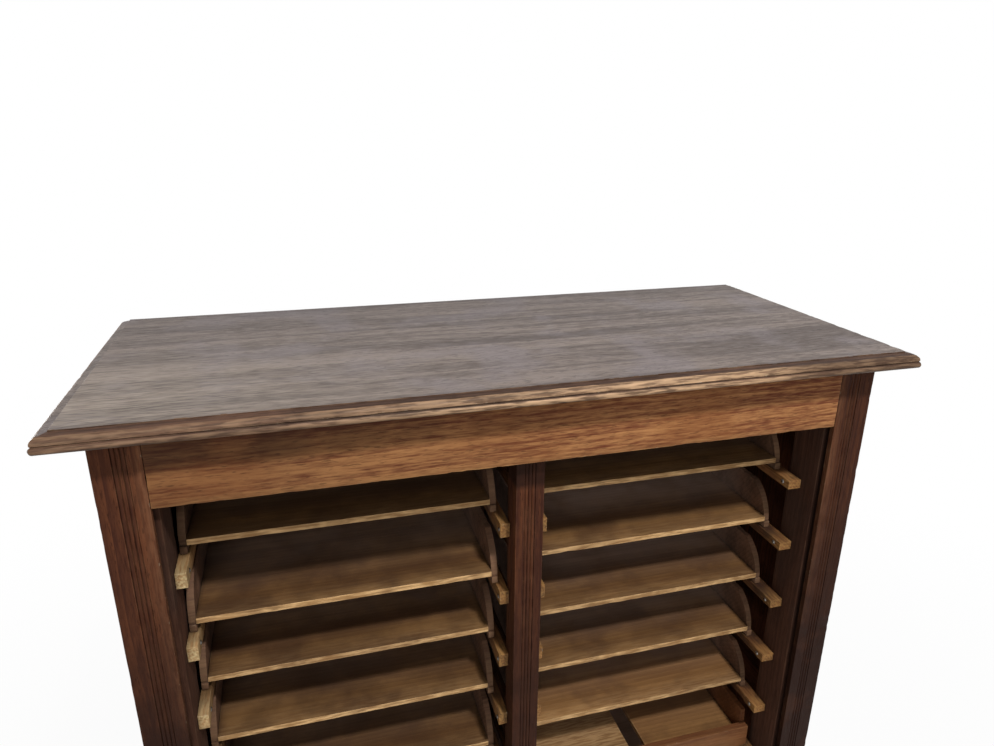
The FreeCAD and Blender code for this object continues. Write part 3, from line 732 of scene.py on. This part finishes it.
def make_top():
    """The top board: a flat grid inside a moulding that runs round three sides."""
    low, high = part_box("top_board")
    run = sizes().edge_run
    half = high.x
    columns = 160
    rows = 70
    across = [low.x + run + 2 * (half - run) * n / columns for n in range(columns + 1)]
    depth = high.y - low.y - run
    back = [low.y + run + depth * n / rows for n in range(rows + 1)]
    mesh = bmesh.new()

    def plan(inset):
        """Points round the left side, the front and the right side at one inset."""
        stretch = (high.y - low.y - inset) / depth
        left = [(low.x + inset, high.y - (high.y - y) * stretch) for y in reversed(back)]
        front = [(x * (half - inset) / (half - run), low.y + inset) for x in across]
        right = [(-x, y) for x, y in reversed(left)]
        radius = max(0.0, sizes().corner_radius - inset)
        bend = []
        for n in range(1, 4):
            turn = n * math.pi / 8
            bend.append((1 - math.cos(turn), 1 - math.sin(turn)))
        corner = [(low.x + inset + radius * a, low.y + inset + radius * b) for a, b in bend]
        left[-1] = (left[-1][0], left[-1][1] + radius)
        front[0] = (front[0][0] + radius, front[0][1])
        front[-1] = (-front[0][0], front[0][1])
        right[0] = (-left[-1][0], left[-1][1])
        other = [(-x, y) for x, y in reversed(corner)]
        return left + corner + front + other + right

    profile = edge_profile(high.z - low.z)

    def nearest(place):
        """The number of the profile point that a place lies on; the flat is 0."""
        inset = min(place.x - low.x, high.x - place.x, place.y - low.y)
        gaps = [math.hypot(inset - i, place.z - low.z - h) for i, h in profile]
        return 0 if inset > run else gaps.index(min(gaps))

    def on_side(place):
        """Whether the nearest edge is the left or the right one."""
        return min(place.x - low.x, high.x - place.x) < place.y - low.y

    def tone(place):
        """Darker at the back and along the front of the flat, paler at its front left; painted shade in the
        moulding's hollows, under the nosing and towards its left end; pale wood on the rounds.
        """
        at = nearest(place)
        if at == 0:
            back = 0.32 * ramp(place.y, *TOP_BACK) * (1 - 0.6 * ramp(place.x, *TOP_RIGHT))
            bare = 0.9 * ramp(place.x, *PALE_LEFT) * ramp(place.y, *PALE_FRONT)
            return back + 0.4 * ramp(place.y - low.y, *FRONT_STRIP), bare
        if at <= LAND_TO and on_side(place):
            return 0.2, 0.0
        # Painted shade in the moulding's hollows and under the nosing
        if at in MOULDING_HOLLOWS or place.z < low.z + UNDERSIDE:
            return 0.4, 0.0
        # Painted shade darkens the moulding towards its left end
        right = ramp(place.x, *EDGE_RIGHT)
        bare = 0.3 + 0.7 * ramp(place.x, *(ROUND_WORN if at < NOSING_FROM else NOSING_WORN))
        return 0.25 * ramp(place.x, *EDGE_LEFT_SHADE) + 0.5 * right, bare - 0.5 * right

    rings = []
    for inset, height in profile:
        rings.append([mesh.verts.new((x, y, low.z + height)) for x, y in plan(inset)])
    for upper, lower in zip(rings, rings[1:]):
        for n in range(len(upper) - 1):
            mesh.faces.new((upper[n], lower[n], lower[n + 1], upper[n + 1]))
    grid = [[mesh.verts.new((x, y, high.z)) for x in across] for y in back]
    for near, far in zip(grid, grid[1:]):
        for n in range(columns):
            mesh.faces.new((near[n], near[n + 1], far[n + 1], far[n]))
    mesh.faces.new(rings[-1])
    edge = [ring[0] for ring in rings] + [ring[-1] for ring in reversed(rings)]
    mesh.faces.new(edge + list(reversed(grid[-1][1:-1])))
    bmesh.ops.remove_doubles(mesh, verts=mesh.verts, dist=TOUCHING)
    bmesh.ops.recalc_face_normals(mesh, faces=mesh.faces)
    paint(mesh, tone)
    worn = {v for v in mesh.verts if low.z + UNDERSIDE < v.co.z < high.z - TOP_SKIN}
    weather(mesh, worn, sizes().nick)

    def flat(middle):
        """Wax lies on the flat, and on the land of both sides."""
        at = nearest(middle)
        waxed = at == 0 or at <= LAND_TO and on_side(middle)
        return waxed_oak if waxed and middle.z > high.z - WAX_REACH else None

    seat(finish_mesh(mesh, "moulded_top_board", handled_oak, flat), "top_board")


def make_front():
    """Frieze rail, reeded stiles and the centre stile."""
    low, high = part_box("frieze_rail")

    def frieze_tone(place):
        """Painted shade darkens the left end, painted shadow of the top's overhang lies along the upper
        part, and the lower arris is rubbed bare.
        """
        left = ramp(place.x, *FRIEZE_LEFT_SHADE)
        soot_and_shade = 0.4 * left + (0.1 + 0.25 * left) * ramp(high.z - place.z, *OVERHANG_SHADOW)
        return soot_and_shade, 0.7 * ramp(place.z - low.z, *TOUCHED_ARRIS)

    def stile_tone(place):
        """Blacker further down, and rubbed bare along the inner arris."""
        down = ramp(place.z, *STILE_DOWN) * (1.1 if place.x < 0 else 0.75)
        soot_and_shade = 0.15 + down + 0.25 * ramp(place.x, *STILE_RIGHT)
        return soot_and_shade, 0.6 * ramp(abs(place.x) - high.x, *TOUCHED_ARRIS)

    def centre_tone(place):
        """Painted shadow of the frieze at the top, and blacker further down."""
        soot_and_shade = 0.15 + 0.65 * ramp(place.z, *CENTRE_DOWN)
        # Painted shadow of the frieze on the stile's top
        return max(soot_and_shade, ramp(low.z - place.z, *FRIEZE_SHADOW)), 0.0

    worn_copy("frieze_rail", golden_oak, (6 * MM, 0, 8 * MM), arris=1.2, tone=frieze_tone)
    for side in ("left", "right"):
        node = "front_stile_" + side
        worn_copy(node, varnished_oak, (0, 0, 7 * MM), arris=0.6, nick=0.5, tone=stile_tone)
    worn_copy(
        "centre_stile", varnished_oak, (0, 0, 8 * MM), arris=0.6, nick=0.5, tone=centre_tone
    )


def make_sides_and_back():
    """Framed sides, rear stiles and the framed back."""
    for side in ("left", "right"):
        worn_copy("rear_stile_" + side, varnished_oak, (0, 0, 20 * MM))
        worn_copy("side_rails_" + side, varnished_oak, (0, 20 * MM, 0))
        worn_copy("side_panels_" + side, varnished_oak, (0, 0, 30 * MM), arris=0.4)
    worn_copy("back_rails", varnished_oak, (25 * MM, 0, 25 * MM))
    worn_copy("back_panels", varnished_oak, (0, 0, 40 * MM), arris=0.4)


def make_inside():
    """Bearers, posts, floor, inner back, tracks and cleats."""
    for node in ("front_bearers", "rear_bearers", "centre_rear_post"):
        # The bearers and posts are darkened all over: painted shade of the deep carcass
        worn_copy(node, aged_pine, (0, 0, 12 * MM), tone=lambda place: (0.4, 0.0))
    worn_copy("bottom_board", aged_pine, (30 * MM, 0, 0))
    worn_copy("inner_back_board", aged_pine, (40 * MM, 0, 40 * MM))
    for node in ("track_soles", "track_cores", "top_cleats"):
        dress(node, aged_pine, Y)


def make_runners():
    """The four ladders of runners and all the screws."""
    def tone(place):
        """Handling has blackened the runners, the lower ones most, and left the tips pale."""
        tip = ramp(place.y, *RUNNER_TIP)
        return (0.25 + 0.4 * ramp(place.z, *RUNNER_DOWN)) * (1 - 0.8 * tip), 0.6 * tip

    for ladder in ("left_outer", "left_inner", "right_inner", "right_outer"):
        pine = bare_pine if ladder == "left_outer" else oiled_pine
        worn_copy("runners_" + ladder, pine, (0, 12 * MM, 0), arris=0.7, nick=0.8, tone=tone)
    for node in ("runner_screws", "top_screws", "pull_screws"):
        dress(node, dull_steel, X)


def make_trays():
    """Every open tray, and the drawer: bottoms of one stain, sides and backs of another."""
    for node in sorted(frame["nodes"]):
        if not node.startswith(("tray_", "drawer_")):
            continue
        low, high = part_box(node)
        closed = node.startswith("drawer_")
        front = low.y + (DRAWER_FRONT if closed else -1 * MM)
        # Smudges and painted shade on the bottoms: the left column is darker
        smudge_and_shade = 0.65 if high.x < 0 else 0.5
        # Grey towards the back from a dusting and from painted fill light, most in the right column
        dust_and_fill_share = 0.2 if closed else 0.45 if high.x < 0 else 0.95

        def bottom(place):
            """The finish of the bottom board, for places on it."""
            level = BOTTOM_FROM < place.z - low.z < BOTTOM_TO
            between = low.x + SIDE_BOARD < place.x < high.x - SIDE_BOARD
            inside = level and between and front < place.y < high.y - BACK_BOARD
            return stained_pine if inside else None

        def tone(place):
            """Smudged bottoms, darker in the left column as painted shade, grey towards the back from a
            dusting and from painted fill light that is stronger in the right column, and a bare board in
            the drawer's left half.
            """
            soot_and_shade = smudge_and_shade if bottom(place) and node not in PALE_TRAYS else 0.0
            bare = 0.25 * ramp(place.y - low.y, *TRAY_LIP)
            if closed and place.x < (low.x + high.x) / 2 and bottom(place):
                bare = 0.5
            return soot_and_shade, bare, dust_and_fill_share * ramp(place.y - low.y, *TRAY_BACK)

        worn_copy(
            node,
            red_pine if closed else dusky_pine,
            (14 * MM, 30 * MM, 0),
            arris=0.8,
            nick=0.6,
            tone=tone,
            other=bottom,
        )


def make_shutter():
    """Lead rail, grips, slats and canvas."""
    worn_copy("shutter_lead_rail", varnished_oak, (10 * MM, 0, 0))
    worn_copy("shutter_pulls", varnished_oak, (8 * MM, 0, 0))
    dress("shutter_front_slats", varnished_oak, X)
    dress("shutter_stored_slats", varnished_oak, X)
    dress("shutter_front_canvas", linen, X)
    dress("shutter_stored_canvas", linen, X)


def make_base():
    """Sill rail and plinth."""
    worn_copy("sill_rail", golden_oak, (12 * MM, 0, 0))
    worn_copy("plinth_front", varnished_oak, (12 * MM, 0, 0), arris=1.0)
    worn_copy("plinth_sides", varnished_oak, (0, 20 * MM, 0), arris=1.0)


def make_camera():
    """A camera where the photograph was taken from."""
    place = (-0.2524, -0.9019, 1.5226)
    yaw, pitch, roll = 0.2760, -0.3343, 0.0066
    forward = Vector(
        (math.sin(yaw) * math.cos(pitch), math.cos(yaw) * math.cos(pitch), math.sin(pitch))
    )
    level = forward.cross(Vector((0, 0, 1))).normalized()
    upright = level.cross(forward)
    right = level * math.cos(roll) + upright * math.sin(roll)
    up = upright * math.cos(roll) - level * math.sin(roll)
    data = bpy.data.cameras.new("camera")
    data.lens = 26.32
    data.sensor_width = 36.0
    data.clip_end = 50.0
    camera = bpy.data.objects.new("camera", data)
    turn = Matrix((right, up, -forward)).transposed().to_4x4()
    camera.matrix_world = Matrix.Translation(place) @ turn
    bpy.context.scene.collection.objects.link(camera)
    bpy.context.scene.camera = camera


def make_lamp(name, azimuth, elevation, distance, size, power):
    """A square soft lamp that looks at the middle of the front from the given direction."""
    target = Vector((0.0, -0.2, 1.0))
    turn, rise = math.radians(azimuth), math.radians(elevation)
    away = Vector(
        (math.sin(turn) * math.cos(rise), -math.cos(turn) * math.cos(rise), math.sin(rise))
    )
    data = bpy.data.lights.new(name, "AREA")
    data.size = size
    data.energy = power
    lamp = bpy.data.objects.new(name, data)
    lamp.location = target + away * distance
    lamp.rotation_euler = away.to_track_quat("Z", "Y").to_euler()
    bpy.context.scene.collection.objects.link(lamp)


def seen(tree):
    """1 for what the camera, a reflection or glass sees, and 0 for what only lights things."""
    path = add(tree, "LightPath").outputs
    either = add(tree, "Math", path["Is Camera Ray"], path["Is Glossy Ray"], operation="MAXIMUM")
    return add(tree, "Math", either, path["Is Transmission Ray"], operation="MAXIMUM")


def make_surroundings():
    """White to the camera and to reflections, and a soft even light on everything else."""
    world = bpy.data.worlds.new("studio")
    world.use_nodes = True
    tree = world.node_tree
    tree.nodes.clear()
    even_light = 0.17
    strength = add(tree, "MapRange", seen(tree), 0.0, 1.0, even_light, 1.0)
    add(tree, "OutputWorld", add(tree, "Background", (1, 1, 1, 1), strength))
    bpy.context.scene.world = world


def make_floor():
    """A plain pale floor: white to the camera, but a little less so near the cabinet's shadow."""
    mesh = bmesh.new()
    bmesh.ops.create_grid(mesh, x_segments=8, y_segments=8, size=12.0)
    made = bpy.data.meshes.new("floor")
    mesh.to_mesh(made)
    mesh.free()
    floor = bpy.data.objects.new("floor", made)
    bpy.context.scene.collection.objects.link(floor)
    material, tree = blank("pale_matt_floor")
    shadow_ends, all_white, near_share = 1.0, 2.6, 0.95
    place = add(tree, "TexCoord").outputs["Object"]
    away = add(tree, "VectorMath", place, operation="LENGTH")
    far = add(tree, "MapRange", away, shadow_ends, all_white, near_share, 1.0, **SMOOTH)
    white = add(tree, "Math", seen(tree), far, operation="MULTIPLY")
    matt = add(tree, "BsdfPrincipled", links={"Base Color": linear("e8e6e2"), "Roughness": 0.9})
    glow = add(tree, "Emission", (1, 1, 1, 1), 1.0)
    add(tree, "OutputMaterial", add(tree, "MixShader", white, matt, glow))
    made.materials.append(material)


def make_stage():
    """Camera, lamps, surroundings and floor."""
    bpy.context.scene.view_settings.view_transform = "Standard"
    make_camera()
    make_surroundings()
    make_floor()
    make_lamp("key", azimuth=14.0, elevation=56.0, distance=3.2, size=0.22, power=74.0)
    make_lamp("fill", azimuth=-15.0, elevation=24.0, distance=4.0, size=1.6, power=38.0)
    for name, azimuth in (("rear_right", 145.0), ("rear_left", -145.0)):
        make_lamp(name, azimuth, elevation=-6.0, distance=4.0, size=0.8, power=36.0)


class CABINET_OT_top(bpy.types.Operator):
    """Make the moulded top board"""

    bl_idname = "cabinet.top"
    bl_label = "Top board"

    def execute(self, context):
        make_top()
        return {"FINISHED"}


class CABINET_OT_front(bpy.types.Operator):
    """Make the frieze and the reeded stiles"""

    bl_idname = "cabinet.front"
    bl_label = "Frieze and stiles"

    def execute(self, context):
        make_front()
        return {"FINISHED"}


class CABINET_OT_sides(bpy.types.Operator):
    """Make the framed sides and back"""

    bl_idname = "cabinet.sides"
    bl_label = "Sides and back"

    def execute(self, context):
        make_sides_and_back()
        return {"FINISHED"}


class CABINET_OT_inside(bpy.types.Operator):
    """Make the bearers, posts and boards inside"""

    bl_idname = "cabinet.inside"
    bl_label = "Inside boards"

    def execute(self, context):
        make_inside()
        return {"FINISHED"}


class CABINET_OT_runners(bpy.types.Operator):
    """Make the runners and screws"""

    bl_idname = "cabinet.runners"
    bl_label = "Runners and screws"

    def execute(self, context):
        make_runners()
        return {"FINISHED"}


class CABINET_OT_trays(bpy.types.Operator):
    """Make the open trays and the drawer"""

    bl_idname = "cabinet.trays"
    bl_label = "Trays and drawer"

    def execute(self, context):
        make_trays()
        return {"FINISHED"}


class CABINET_OT_shutter(bpy.types.Operator):
    """Make the roller shutter"""

    bl_idname = "cabinet.shutter"
    bl_label = "Roller shutter"

    def execute(self, context):
        make_shutter()
        return {"FINISHED"}


class CABINET_OT_base(bpy.types.Operator):
    """Make the sill and plinth"""

    bl_idname = "cabinet.base"
    bl_label = "Sill and plinth"

    def execute(self, context):
        make_base()
        return {"FINISHED"}


class CABINET_OT_stage(bpy.types.Operator):
    """Make the floor, the light and the camera"""

    bl_idname = "cabinet.stage"
    bl_label = "Stage"

    def execute(self, context):
        make_stage()
        return {"FINISHED"}


OPERATORS = (
    CABINET_OT_stage,
    CABINET_OT_top,
    CABINET_OT_front,
    CABINET_OT_sides,
    CABINET_OT_inside,
    CABINET_OT_runners,
    CABINET_OT_trays,
    CABINET_OT_shutter,
    CABINET_OT_base,
)


class CABINET_PT_panel(bpy.types.Panel):
    """Lists the cabinet's pieces, sizes and colours"""

    bl_idname = "CABINET_PT_panel"
    bl_label = "Notary cabinet"
    bl_space_type = "VIEW_3D"
    bl_region_type = "UI"
    bl_category = "Cabinet"

    def draw(self, context):
        for operator in OPERATORS:
            self.layout.operator(operator.bl_idname)
        for group in (context.scene.cabinet_sizes, context.scene.cabinet_colours):
            box = self.layout.box()
            for name in group.__annotations__:
                box.prop(group, name)


CLASSES = (CabinetSizes, CabinetColours, *OPERATORS, CABINET_PT_panel)


def register():
    """Add the classes and their settings to Blender."""
    for cls in CLASSES:
        bpy.utils.register_class(cls)
    bpy.types.Scene.cabinet_sizes = bpy.props.PointerProperty(type=CabinetSizes)
    bpy.types.Scene.cabinet_colours = bpy.props.PointerProperty(type=CabinetColours)


def unregister():
    """Take the classes and their settings out again."""
    del bpy.types.Scene.cabinet_sizes
    del bpy.types.Scene.cabinet_colours
    for cls in reversed(CLASSES):
        bpy.utils.unregister_class(cls)


def main():
    """Make the whole cabinet."""
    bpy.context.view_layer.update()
    register()
    bpy.ops.cabinet.stage()
    bpy.ops.cabinet.top()
    bpy.ops.cabinet.front()
    bpy.ops.cabinet.sides()
    bpy.ops.cabinet.inside()
    bpy.ops.cabinet.runners()
    bpy.ops.cabinet.trays()
    bpy.ops.cabinet.shutter()
    bpy.ops.cabinet.base()


if __name__ == "__main__":
    main()
